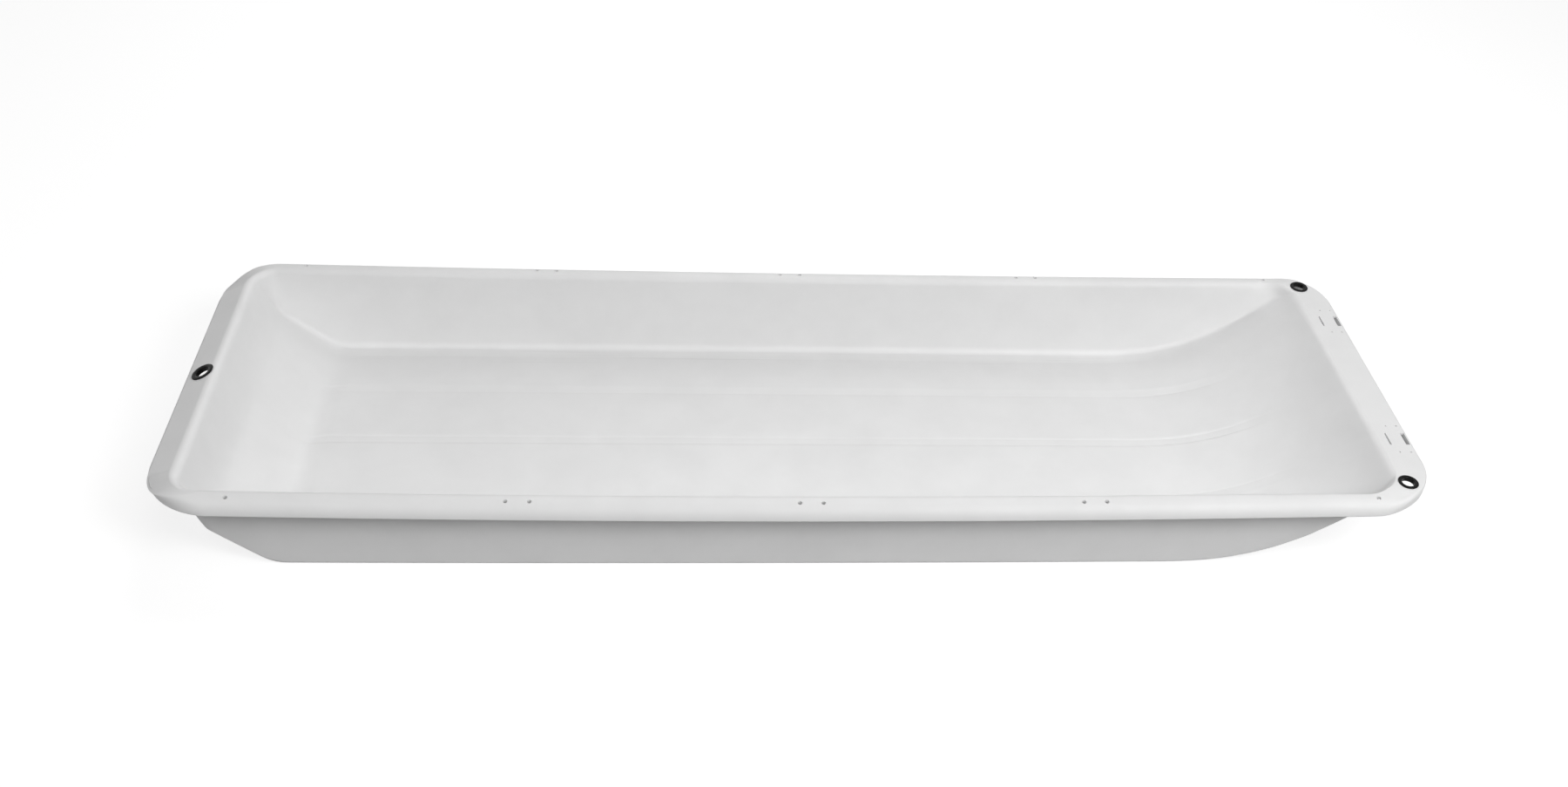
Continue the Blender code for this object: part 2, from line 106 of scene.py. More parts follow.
def filleted(corners: list[Pair], arcs: list[tuple[float, int]]) -> list[Vector]:
    """Round the inner corners of a line.

    Args:
        corners: The line's points, first to last.
        arcs: Radius and segments of each inner corner's arc; arcs that would meet are made smaller.

    Returns:
        The first point, the points of each arc with both its ends, and the last point.
    """
    spots = [Vector(corner) for corner in corners]
    halves = [(a - b).angle(c - b) / 2 for a, b, c in zip(spots, spots[1:], spots[2:])]
    reaches = [0.0] + [radius / math.tan(half) for (radius, _), half in zip(arcs, halves)] + [0.0]
    for here in range(len(spots) - 1):
        room = ARC_ROOM * (spots[here + 1] - spots[here]).length
        wanted = reaches[here] + reaches[here + 1]
        if wanted > room:
            reaches[here] *= room / wanted
            reaches[here + 1] *= room / wanted
    points = [spots[0]]
    for index, half in enumerate(halves, start=1):
        corner = spots[index]
        steps = arcs[index - 1][1]
        back = (spots[index - 1] - corner).normalized()
        ahead = (spots[index + 1] - corner).normalized()
        middle = corner + (back + ahead).normalized() * reaches[index] / math.cos(half)
        start = corner + back * reaches[index] - middle
        end = corner + ahead * reaches[index] - middle
        sweep = math.pi - 2 * half
        for step in range(steps + 1):
            part = step / steps
            share_a = math.sin((1 - part) * sweep) / math.sin(sweep)
            share_b = math.sin(part * sweep) / math.sin(sweep)
            points.append(middle + start * share_a + end * share_b)
    points.append(spots[-1])
    return points


def add_piece(name: str, bm: BMesh, material: Material) -> bpy.types.Object:
    """Make a smooth-shaded object of a bmesh, with its place in its mesh.

    Args:
        name: Name of the object and its mesh.
        bm: The finished bmesh, which is freed.
        material: Finish of the whole piece.

    Returns:
        The linked object.
    """
    mesh = bpy.data.meshes.new(name)
    bm.to_mesh(mesh)
    bm.free()
    mesh.shade_smooth()
    mesh.materials.append(material)
    piece = bpy.data.objects.new(name, mesh)
    bpy.context.scene.collection.objects.link(piece)
    return piece


def even_shading(piece: bpy.types.Object) -> None:
    """Weight the normals of a piece by its faces' sizes."""
    shading = piece.modifiers.new("shading", "WEIGHTED_NORMAL")
    shading.keep_sharp = True


def faces_of(spots: list[bmesh.types.BMVert]) -> list[bmesh.types.BMFace]:
    """The faces that touch any of the vertices, each once, in the vertices' order."""
    return list(dict.fromkeys(face for spot in spots for face in spot.link_faces))


def add_turned(bm: BMesh, profile: list[Pair], frame: Matrix, steps: int) -> list:
    """Turn a closed solid from a profile of radius and height.

    Args:
        bm: Mesh that takes the solid.
        profile: Points of the half section; one that starts and ends on the axis, or a closed loop.
        frame: Where the solid's axis and origin lie.
        steps: Facets round the axis.

    Returns:
        The new vertices.
    """
    before = set(bm.verts)
    start = Matrix.Rotation(math.pi / steps, 3, "Z")
    line = [bm.verts.new(start @ Vector((radius, 0.0, height))) for radius, height in profile]
    pairs = list(zip(line, line[1:]))
    if profile[0][0] > 0.0:
        pairs.append((line[-1], line[0]))
    edges = [bm.edges.new(pair) for pair in pairs]
    bmesh.ops.spin(bm, geom=line + edges, axis=(0, 0, 1), cent=(0, 0, 0), steps=steps,
                   angle=2 * math.pi, use_merge=True)
    bmesh.ops.remove_doubles(bm, verts=[spot for spot in bm.verts if spot not in before], dist=WELD)
    made = [spot for spot in bm.verts if spot not in before]
    bmesh.ops.recalc_face_normals(bm, faces=faces_of(made))
    bmesh.ops.transform(bm, matrix=frame, verts=made)
    return made


@dataclass(frozen=True)
class SectionPoint:
    """One point of a rim-and-wall section.

    Attributes:
        inset: Distance in from the lip.
        rise: Height above the rim's crest.
        share: How far the point takes the floor's height and not the crest's.
    """

    inset: float
    rise: float
    share: float


@dataclass(frozen=True)
class Bend:
    """One bend in the rear wall's profile, met on the way up from the floor.

    Attributes:
        straight: Level run before the bend.
        radius: Radius of the bend.
        before: Slope below the bend, in radians.
        after: Slope above the bend, in radians.
    """

    straight: float
    radius: float
    before: float
    after: float

    def run(self) -> float:
        """Level distance that the bend takes."""
        return self.radius * (math.sin(self.after) - math.sin(self.before))


@dataclass
class TubForm:
    """Every size that shapes the tub, and the height and plan place of any point of its sheet."""

    half_length: float = 0.7482
    half_width: float = 0.2392
    side_bulge: float = 0.0040
    rear_flare: float = 0.0019
    lip_corners: dict[SledEnd, float] = by_end(0.080, 0.076)
    crest_corners: dict[SledEnd, float] = by_end(0.026, 0.034)
    corner_end_parts: dict[SledEnd, float] = by_end(0.25, 0.56)
    foot_corner: float = 0.014
    foot_corner_swell: float = 0.022
    thickness: float = 0.0036
    crest_level: float = 0.1168
    sheer_rise: float = 0.0068
    side_lip_drop: float = 0.0165
    side_top_slope: float = math.radians(6.0)
    side_edge_radius: float = 0.0150
    side_crest_inset: float = 0.0240
    side_crest_radius: float = 0.0062
    side_wall_draft: float = math.radians(3.6)
    side_foot_reach: float = 0.0094
    runner_width: float = 0.0140
    rear_lip_drop: float = 0.0170
    rear_lip_lean: float = 0.0020
    rear_facet_slope: float = math.radians(22.0)
    rear_edge_radius: float = 0.0040
    rear_crest_inset: float = 0.0375
    rear_crest_radius: float = 0.0090
    rear_knee_inset: float = 0.0598
    rear_knee_height: float = 0.0576
    rear_knee_radius: float = 0.0400
    rear_ramp_slope: float = math.radians(39.0)
    rear_foot_radius: float = 0.0450
    rear_floor_margin: float = 0.0100
    front_lip_drop: float = 0.0135
    front_edge_radius: float = 0.0035
    front_crest_inset: float = 0.0415
    front_crest_rise: float = 0.0012
    front_crest_radius: float = 0.0080
    front_floor_margin: float = 0.0280
    upsweep_run: float = 0.277
    upsweep_power: float = 2.6
    floor_crown: float = 0.0096
    crown_start_lead: float = 0.045
    crown_start_run: float = 0.060
    keel_depth: float = 0.0010
    keel_bow_depth: float = 0.0022
    keel_mouth_width: float = 0.019
    keel_sole_width: float = 0.011
    keel_pitch: float = 0.104
    keel_bow_lead: float = 0.1103
    keel_fade_run: float = 0.125
    foot_radius: float = 0.0100
    arc_steps: int = 8
    foot_steps: int = 16
    wall_cells: int = 4

    def __post_init__(self) -> None:
        """Work out the levels, bends and sections that follow from the sizes."""
        self.floor = self.thickness / 2
        self.rear_level = self.crest_level + self.sheer_rise
        self.front_level = self.rear_level + self.front_crest_rise
        self.side_depth = self.crest_level - self.floor
        self.side_foot_inset = self.side_crest_inset + self.side_depth * math.tan(self.side_wall_draft)
        self.side_floor_inset = self.side_foot_inset + self.side_foot_reach + self.runner_width
        self.rear_wall_drop = self.rear_level - self.floor - self.rear_knee_height
        wall_slope = math.atan2(self.rear_wall_drop, self.rear_knee_inset - self.rear_crest_inset)
        foot_reach = self.rear_foot_radius * math.tan(self.rear_ramp_slope / 2)
        knee_reach = self.rear_knee_radius * math.tan((wall_slope - self.rear_ramp_slope) / 2)
        ramp_run = self.rear_knee_height / math.tan(self.rear_ramp_slope)
        straight = ramp_run - (foot_reach + knee_reach) * math.cos(self.rear_ramp_slope)
        self.rear_floor_inset = self.rear_knee_inset + ramp_run + foot_reach
        self.bends = [Bend(0.0, self.rear_foot_radius, 0.0, self.rear_ramp_slope),
                      Bend(straight, self.rear_knee_radius, self.rear_ramp_slope, wall_slope)]
        self.upsweep_start = self.half_length - self.front_crest_inset - self.upsweep_run
        self.rim_rings = 2 * (self.arc_steps + 1)
        self.side = self._with_wall(self._side_section())
        self.ends = {SledEnd.REAR: self._with_wall(self._rear_section()),
                     SledEnd.FRONT: self._with_wall(self._front_section())}
        self.rings = len(self.side) - 1

    def _with_wall(self, section: list[SectionPoint]) -> list[SectionPoint]:
        """A section with more points down its wall, between the rim's inner edge and the next point."""
        top, foot = section[self.rim_rings], section[self.rim_rings + 1]
        wall = []
        for step in range(1, self.wall_cells):
            part = step / self.wall_cells
            share = foot.share * part if foot.share < 1.0 else 1.0
            rise = top.rise * (1.0 - part) / (1.0 - share) if share < 1.0 else 0.0
            wall.append(SectionPoint(lerp(top.inset, foot.inset, part), rise, share))
        return section[:self.rim_rings + 1] + wall + section[self.rim_rings + 1:]

    def _rim(self, points: list[Vector]) -> list[SectionPoint]:
        """The rim's part of a section, from the lip to the inner edge."""
        return [SectionPoint(p.x, p.y, 0.0) for p in points[:self.rim_rings + 1]]

    def _side_section(self) -> list[SectionPoint]:
        """Section across the side rim and wall."""
        edge_drop = self.side_crest_inset * math.tan(self.side_top_slope)
        corners = [(0.0, -self.side_lip_drop), (0.0, -edge_drop), (self.side_crest_inset, 0.0),
                   (self.side_foot_inset, -self.side_depth), (self.side_floor_inset, -self.side_depth)]
        points = filleted(corners, [(self.side_edge_radius, self.arc_steps),
                                    (self.side_crest_radius, self.arc_steps),
                                    (self.foot_radius, self.foot_steps)])
        wall = [SectionPoint(p.x, 0.0, -p.y / self.side_depth) for p in points[self.rim_rings + 1:]]
        return self._rim(points) + wall

    def _rear_section(self) -> list[SectionPoint]:
        """Section across the rear rim, with its facet down to the lip, and down the wall and ramp."""
        edge_drop = (self.rear_crest_inset - self.rear_lip_lean) * math.tan(self.rear_facet_slope)
        corners = [(0.0, -self.rear_lip_drop), (self.rear_lip_lean, -edge_drop), (self.rear_crest_inset, 0.0),
                   (self.rear_knee_inset, -self.rear_wall_drop)]
        points = filleted(corners, [(self.rear_edge_radius, self.arc_steps),
                                    (self.rear_crest_radius, self.arc_steps)])
        reach = sum(bend.straight + bend.run() for bend in self.bends)
        insets = [self.rear_floor_inset - reach * (1.0 - step / self.foot_steps)
                  for step in range(self.foot_steps + 1)]
        insets.append(self.rear_floor_inset + self.rear_floor_margin)
        return self._rim(points) + [SectionPoint(inset, 0.0, 1.0) for inset in insets]

    def _front_section(self) -> list[SectionPoint]:
        """Section across the front rim, which runs straight into the upswept bow."""
        slope = (self.front_level - self.floor) * self.upsweep_power / self.upsweep_run
        reach = self.front_crest_radius * math.tan(math.atan(slope) / 2)
        foot = self.front_crest_inset + reach * math.cos(math.atan(slope))
        corners = [(0.0, -self.front_lip_drop), (0.0, 0.0), (self.front_crest_inset, 0.0),
                   (foot, (self.front_crest_inset - foot) * slope)]
        points = filleted(corners, [(self.front_edge_radius, self.arc_steps),
                                    (self.front_crest_radius, self.arc_steps)])
        spread = self.front_floor_margin / (self.foot_steps + 2)
        bow = [SectionPoint(foot + step * spread, 0.0, 1.0) for step in range(1, self.foot_steps + 3)]
        return self._rim(points) + bow

    def crest(self, x: float) -> float:
        """Height of the side rim's crest at station x."""
        return self.crest_level + self.sheer_rise * (x / self.half_length) ** 2

    def end_level(self, end: SledEnd) -> float:
        """Height of the rim's crest at one end."""
        return self.front_level if end is SledEnd.FRONT else self.rear_level

    def rear_rise(self, x: float) -> float:
        """Height above the floor of the ramp and the steep wall at the rear."""
        left = max(self.rear_floor_inset - self.half_length - x, 0.0)
        rise = 0.0
        for bend in self.bends:
            run = min(left, bend.straight)
            rise += run * math.tan(bend.before)
            left -= run
            run = min(left, bend.run())
            reached = math.asin(math.sin(bend.before) + run / bend.radius)
            rise += bend.radius * (math.cos(bend.before) - math.cos(reached))
            left -= run
        return rise + left * math.tan(self.bends[-1].after)

    def keel(self, x: float, y: float) -> float:
        """How far a keel is pressed down at one point of the floor."""
        mouth = self.keel_mouth_width / 2
        sole = self.keel_sole_width / 2
        off_axis = min(abs(y - row * self.keel_pitch) for row in (-1, 0, 1))
        across = smooth_step((mouth - off_axis) / (mouth - sole))
        ahead = x - self.upsweep_start
        depth = lerp(self.keel_depth, self.keel_bow_depth, smooth_step(ahead / self.keel_bow_lead))
        return depth * across * (1.0 - smooth_step((ahead - self.keel_bow_lead) / self.keel_fade_run))

    def floor_level(self, x: float, y: float) -> float:
        """Height of the floor at one point: crowned and keeled, and swept up at both ends."""
        inboard = max(1.0 - (y / (self.half_width - self.side_floor_inset)) ** 2, 0.0)
        ahead_of_ramp = x + self.half_length - self.rear_floor_inset + self.crown_start_lead
        settled = smooth_step(ahead_of_ramp / self.crown_start_run)
        base = self.floor + self.rear_rise(x) + settled * (self.floor_crown * inboard - self.keel(x, y))
        ahead = min(max((x - self.upsweep_start) / self.upsweep_run, 0.0), 1.0)
        return base + (self.front_level - base) * ahead ** self.upsweep_power

    def barrel(self, x: float, y: float) -> float:
        """The real y of a plan point: the sides bulge amidships and the rear is a little wider."""
        along = x / self.half_length
        swell = self.side_bulge * (1.0 - along * along) - self.rear_flare * along
        return y * (1.0 + swell / self.half_width)

    def corner_radius(self, ring: int, end: SledEnd) -> float:
        """Plan radius of one ring's corners, which tightens from the lip to the crest and the foot."""
        lip = self.lip_corners[end]
        crest = self.crest_corners[end]
        if ring <= self.rim_rings:
            return lerp(lip, crest, self.side[ring].inset / self.side[self.rim_rings].inset)
        foot_ring = max(ring, self.rim_rings + self.wall_cells)
        share = self.side[foot_ring].share
        swell = self.foot_corner_swell * (4 * share * (1 - share)) ** 2
        radius = lerp(crest, self.foot_corner, share) + swell
        return lerp(crest, radius, min((ring - self.rim_rings) / self.wall_cells, 1.0))

    def corner_centre(self, ring: int, end: SledEnd, side: int) -> Vector:
        """Plan centre of one ring's corner arc."""
        radius = self.corner_radius(ring, end)
        return Vector((end.value * (self.half_length - self.ends[end][ring].inset - radius),
                       side * (self.half_width - self.side[ring].inset - radius)))

    def side_weight(self, end: SledEnd, quarter: float) -> float:
        """How far the section has turned from the end's to the side's part way round a corner."""
        end_part = self.corner_end_parts[end]
        return smooth_step((quarter - end_part) / (1.0 - end_part))

    def ring_level(self, ring: int, x: float, y: float, end: SledEnd, weight: float) -> float:
        """Height of a ring at a plan point.

        Args:
            ring: Number of the ring, from the lip inwards.
            x: Station along the sled.
            y: Plan place across the sled, before the bulge.
            end: The end that the point is nearer to.
            weight: How much of the side's section the point has, and not the end's.

        Returns:
            The height of the middle of the sheet.
        """
        def level(sample: SectionPoint, crest: float) -> float:
            """Height of one section's sample."""
            return (1.0 - sample.share) * (crest + sample.rise) + sample.share * self.floor_level(x, y)

        at_end = level(self.ends[end][ring], self.end_level(end))
        return (1.0 - weight) * at_end + weight * level(self.side[ring], self.crest(x))


@dataclass(frozen=True)
class SoftZone:
    """A stretch of the bow whose folds are smoothed.

    Attributes:
        start: Station where it starts.
        offset: Distance from the sled's middle beyond which it lies.
        passes: How many times it is smoothed.
    """

    start: float
    offset: float
    passes: int


@dataclass
class SheetGrid:
    """The flat grid of cells that is pressed over the form: rings of rim and wall round the floor."""

    form: TubForm
    corner_cells: int = 4
    flat_cells: int = 52
    flat_power: float = 1.5
    bow_cells: int = 32
    bow_power: float = 0.9
    bay_cells: int = 5
    flank_cells: int = 4
    spread_reach: float = 0.15
    soft_zones: tuple[SoftZone, ...] = (
        SoftZone(0.530, 0.125, 8),
        SoftZone(0.580, 0.125, 14),
        SoftZone(0.620, 0.125, 24),
        SoftZone(0.655, 0.125, 40),
        SoftZone(0.665, 0.0, 40),
    )
    soft_factor: float = 0.5

    def __post_init__(self) -> None:
        """Work out the lanes along the floor and the stations across it."""
        self.turn = self.form.rings + self.corner_cells
        self.lanes = self._lanes()
        self.stations = self._stations()
        self.columns = 2 * self.turn + len(self.stations) - 1
        self.rows = 2 * self.turn + len(self.lanes) - 1

    def _lanes(self) -> list[float]:
        """The y of each lane of cells between the corners, closer together at the keels' flanks."""
        form = self.form
        mouth = form.keel_mouth_width / 2
        sole = form.keel_sole_width / 2
        flank = [lerp(mouth, sole, step / self.flank_cells) for step in range(self.flank_cells + 1)]
        outer = form.half_width - max(form.lip_corners.values())
        bay = form.keel_pitch - 2 * mouth
        half = [outer, (outer + form.keel_pitch + mouth) / 2]
        half += [form.keel_pitch + offset for offset in flank]
        half += [form.keel_pitch - offset for offset in reversed(flank)]
        half += [form.keel_pitch - mouth - bay * step / self.bay_cells for step in range(1, self.bay_cells)]
        half += flank
        return [-y for y in half] + half[::-1]

    def _stations(self) -> list[float]:
        """The x of each column between the corners of the innermost ring."""
        form = self.form
        start = form.corner_centre(form.rings, SledEnd.REAR, 1).x
        end = form.corner_centre(form.rings, SledEnd.FRONT, 1).x
        flat = form.upsweep_start - start
        bow = end - form.upsweep_start
        places = [start + flat * (step / self.flat_cells) ** self.flat_power
                  for step in range(self.flat_cells + 1)]
        return places + [form.upsweep_start + bow * (step / self.bow_cells) ** self.bow_power
                         for step in range(1, self.bow_cells + 1)]

    def straight_x(self, ring: int, station: float) -> float:
        """Spread a column out from the innermost ring's ends to those of another ring.

        Args:
            ring: Number of the ring, from the lip inwards.
            station: The column's x on the innermost ring.

        Returns:
            The column's x on the ring, which is the station itself away from both ends.
        """
        x = station
        for end in SledEnd:
            inner = self.form.corner_centre(self.form.rings, end, 1).x
            nearness = max(1.0 - abs(station - inner) / self.spread_reach, 0.0)
            x += (self.form.corner_centre(ring, end, 1).x - inner) * nearness ** 2
        return x

    def ring_spot(self, ring: int, column: int, row: int) -> Vector:
        """Place of the grid vertex at a column and row that lies on a ring.

        Args:
            ring: Number of the ring, from the lip inwards.
            column: Column of the grid, from the rear.
            row: Row of the grid, from the right side.

        Returns:
            The plan place and height of the middle of the sheet, before the bulge.
        """
        form = self.form
        end = SledEnd.FRONT if column > self.columns / 2 else SledEnd.REAR
        side = 1 if row > self.rows / 2 else -1
        from_end = min(column, self.columns - column)
        from_side = min(row, self.rows - row)
        weight = 0.0
        if from_side == ring and from_end >= self.turn:
            x = self.straight_x(ring, self.stations[column - self.turn])
            y = side * (form.half_width - form.side[ring].inset)
            weight = 1.0
        elif from_end == ring and from_side >= self.turn:
            x = end.value * (form.half_length - form.ends[end][ring].inset)
            y = self.lanes[row - self.turn]
        else:
            along = (from_end - ring if from_side == ring else ring - from_side) / (self.turn - ring)
            quarter = 0.5 + 0.5 * along
            angle = quarter * math.pi / 2
            reach = Vector((end.value * math.cos(angle), side * math.sin(angle)))
            x, y = form.corner_centre(ring, end, side) + reach * form.corner_radius(ring, end)
            weight = form.side_weight(end, quarter)
        return Vector((x, y, form.ring_level(ring, x, y, end, weight)))

    def floor_spot(self, column: int, row: int) -> Vector:
        """Place of a vertex inside the innermost ring, blended from that ring's four edges."""
        ring = self.form.rings
        far_x, far_y = self.columns - ring, self.rows - ring
        west, east = self.ring_spot(ring, ring, row), self.ring_spot(ring, far_x, row)
        south, north = self.ring_spot(ring, column, ring), self.ring_spot(ring, column, far_y)
        west_south, east_south = self.ring_spot(ring, ring, ring), self.ring_spot(ring, far_x, ring)
        west_north, east_north = self.ring_spot(ring, ring, far_y), self.ring_spot(ring, far_x, far_y)
        u = (south.x - west_south.x) / (east_south.x - west_south.x)
        v = (west.y - west_south.y) / (west_north.y - west_south.y)
        corners = west_south.lerp(east_south, u).lerp(west_north.lerp(east_north, u), v)
        place = west.lerp(east, u) + south.lerp(north, v) - corners
        return Vector((place.x, place.y, self.form.floor_level(place.x, place.y)))

    def spot(self, column: int, row: int) -> Vector:
        """Final place of the grid vertex at a column and row."""
        ring = min(column, self.columns - column, row, self.rows - row)
        place = self.ring_spot(ring, column, row) if ring <= self.form.rings else self.floor_spot(column, row)
        return Vector((place.x, self.form.barrel(place.x, place.y), place.z))

    def soften_bow(self, bm: BMesh, inboard: list[bmesh.types.BMVert]) -> None:
        """Blend the walls into the bow, more and more towards the front rim, and soften its inner edge.

        Args:
            bm: Mesh of the sheet's middle.
            inboard: Its vertices inside the flat of the rim.
        """
        for zone in self.soft_zones:
            soft = [vertex for vertex in inboard
                    if vertex.co.x > zone.start and abs(vertex.co.y) > zone.offset]
            for _ in range(zone.passes):
                bmesh.ops.smooth_vert(bm, verts=soft, factor=self.soft_factor,
                                      use_axis_x=True, use_axis_y=True, use_axis_z=True)

    def press(self, bm: BMesh, face: SheetFace) -> None:
        """Add one face of the pressed sheet to a mesh.

        Args:
            bm: Mesh that takes the face.
            face: Which face of the sheet it is.
        """
        made = bmesh.ops.create_grid(bm, x_segments=self.columns, y_segments=self.rows, size=0.5)["verts"]
        rim_flat = self.form.rim_rings - self.form.arc_steps
        inboard = []
        for vertex in made:
            column = round((vertex.co.x + 0.5) * self.columns)
            row = round((vertex.co.y + 0.5) * self.rows)
            vertex.co = self.spot(column, row)
            if min(self.columns - column, row, self.rows - row) > rim_flat:
                inboard.append(vertex)
        self.soften_bow(bm, inboard)
        bm.normal_update()
        offset = face.value * self.form.thickness / 2
        moves = {vertex: vertex.normal * offset for vertex in made}
        for vertex, move in moves.items():
            vertex.co += move
        if face is SheetFace.UNDERSIDE:
            bmesh.ops.reverse_faces(bm, faces=faces_of(made))


@dataclass(frozen=True)
class Punch:
    """One hole through the rim: round, or a slot with rounded corners where a spread is given.

    Attributes:
        frame: Seat of the hole, with its origin in the middle of the sheet and +Z out of the top.
        radius: Radius of the hole or of the slot's corners.
        spread: Distance between the slot's corner centres along X and Y.
        relief: Radius of the softened edge at each face of the sheet.
        relief_steps: Steps across the softened edge.
        steps: Facets round the hole.
    """

    frame: Matrix
    radius: float
    spread: Pair = (0.0, 0.0)
    relief: float = 0.0005
    relief_steps: int = 3
    steps: int = 32

    def add_to(self, bm: BMesh, thickness: float) -> None:
        """Add the punch to a mesh of cutters.

        Args:
            bm: Mesh that takes the punch.
            thickness: Thickness of the sheet.
        """
        flare = []
        for step in range(self.relief_steps + 1):
            angle = math.pi / 2 * step / self.relief_steps
            flare.append((self.radius + self.relief * (1 - math.sin(angle)),
                          thickness / 2 - self.relief * (1 - math.cos(angle))))
        top = [(0.0, thickness), (self.radius + self.relief, thickness)] + flare
        bottom = [(radius, -height) for radius, height in reversed(top)]
        made = add_turned(bm, top + bottom, Matrix.Identity(4), self.steps)
        for vertex in made:
            vertex.co.x += math.copysign(self.spread[0] / 2, vertex.co.x)
            vertex.co.y += math.copysign(self.spread[1] / 2, vertex.co.y)
        bmesh.ops.transform(bm, matrix=self.frame, verts=made)


@dataclass
class Tub:
    """The one-piece white tub, with its lashing holes, strap slots, pilot holes and eyelet holes."""

    form: TubForm
    outer_foot_radius: float = 0.0045
    lip_bevel: float = 0.0009
    lashing_radius: float = 0.0025
    lashing_inset: float = 0.0122
    lashing_single_stations: tuple[float, ...] = (-0.6476, 0.6723)
    lashing_pair_stations: tuple[float, ...] = (-0.3276, 0.0049, 0.3344)
    lashing_pair_spacing: float = 0.027
    strap_offset: float = 0.1230
    slot_length: float = 0.022
    slot_widths: dict[float, float] = field(default_factory=lambda: {0.0055: 0.0048, 0.0272: 0.0020})
    slot_corner: float = 0.0009
    pilot_radius: float = 0.0011
    pilot_insets: tuple[float, ...] = (0.0075, 0.0212)
    pilot_spacing: float = 0.0494
    fine_relief: float = 0.0003
    fine_steps: int = 20
    sliver: float = 0.00003

    def lashing_punches(self) -> list[Punch]:
        """The small round holes along both side rims, one at each end and pairs between."""
        stations = list(self.lashing_single_stations)
        for middle in self.lashing_pair_stations:
            stations += [middle - self.lashing_pair_spacing / 2, middle + self.lashing_pair_spacing / 2]
        punches = []
        for side in (-1, 1):
            for x in stations:
                y = side * self.form.barrel(x, self.form.half_width - self.lashing_inset)
                drop = (self.form.side_crest_inset - self.lashing_inset) * math.tan(self.form.side_top_slope)
                tilt = Matrix.Rotation(-side * self.form.side_top_slope, 4, "X")
                seat = Matrix.Translation((x, y, self.form.crest(x) - drop)) @ tilt
                punches.append(Punch(seat, self.lashing_radius))
        return punches

    def strap_punches(self) -> list[Punch]:
        """The two slots and four pilot holes in the front rim, on each side."""
        punches = []

        def add(inset: float, y: float, radius: float, spread: Pair = (0.0, 0.0)) -> None:
            """Add one fine punch at a place on the front rim."""
            seat = Matrix.Translation((self.form.half_length - inset, y, self.form.front_level))
            punches.append(Punch(seat, radius, spread, self.fine_relief, steps=self.fine_steps))

        for side in (-1, 1):
            middle = side * self.strap_offset
            for inset, width in self.slot_widths.items():
                spread = (width - 2 * self.slot_corner, self.slot_length - 2 * self.slot_corner)
                add(inset, middle, self.slot_corner, spread)
            for inset in self.pilot_insets:
                for end in (-1, 1):
                    add(inset, middle + end * self.pilot_spacing / 2, self.pilot_radius)
        return punches

    def shell(self) -> BMesh:
        """The closed sheet before it is punched: both faces, joined round the softened lip."""
        bm = bmesh.new()
        SheetGrid(self.form).press(bm, SheetFace.INSIDE)
        SheetGrid(replace(self.form, foot_radius=self.outer_foot_radius)).press(bm, SheetFace.UNDERSIDE)
        rims = [edge for edge in bm.edges if edge.is_boundary]
        bmesh.ops.bridge_loops(bm, edges=rims)
        bmesh.ops.bevel(bm, geom=rims, offset=self.lip_bevel, segments=3, profile=0.5,
                        affect="EDGES", material=-1)
        bmesh.ops.recalc_face_normals(bm, faces=bm.faces[:])
        return bm

    def punched(self, tub: bpy.types.Object, punches: bpy.types.Object) -> bpy.types.Mesh:
        """Cut the holes.

        Args:
            tub: The closed sheet, whose modifiers are cleared.
            punches: The cutters.

        Returns:
            The tub's mesh with its holes and without slivers.
        """
        holes = tub.modifiers.new("punches", "BOOLEAN")
        holes.operation = "DIFFERENCE"
        holes.solver = "EXACT"
        holes.object = punches
        graph = bpy.context.evaluated_depsgraph_get()
        mesh = bpy.data.meshes.new_from_object(tub.evaluated_get(graph), preserve_all_data_layers=True,
                                               depsgraph=graph)
        tub.modifiers.clear()
        bm = bmesh.new()
        bm.from_mesh(mesh)
        bmesh.ops.dissolve_degenerate(bm, edges=bm.edges[:], dist=self.sliver)
        bm.to_mesh(mesh)
        bm.free()
        return mesh

    def build(self, seats: list[Punch], finish: Material) -> None:
        """Make the tub and let it stand for the CAD tub.

        Args:
            seats: Punches for the eyelets' barrels.
            finish: Finish of the plastic.
        """
        tub = add_piece("pulk_tub", self.shell(), finish)
        cutters = bmesh.new()
        for punch in self.lashing_punches() + self.strap_punches() + seats:
            punch.add_to(cutters, self.form.thickness)
        punches = add_piece("rim_punches", cutters, finish)
        tub.data = self.punched(tub, punches)
        bpy.data.objects.remove(punches, do_unlink=True)
        even_shading(tub)
        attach(tub, BODY)
        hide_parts("sled_tub")
        LOG.info("pulk_tub: %d faces", len(tub.data.polygons))


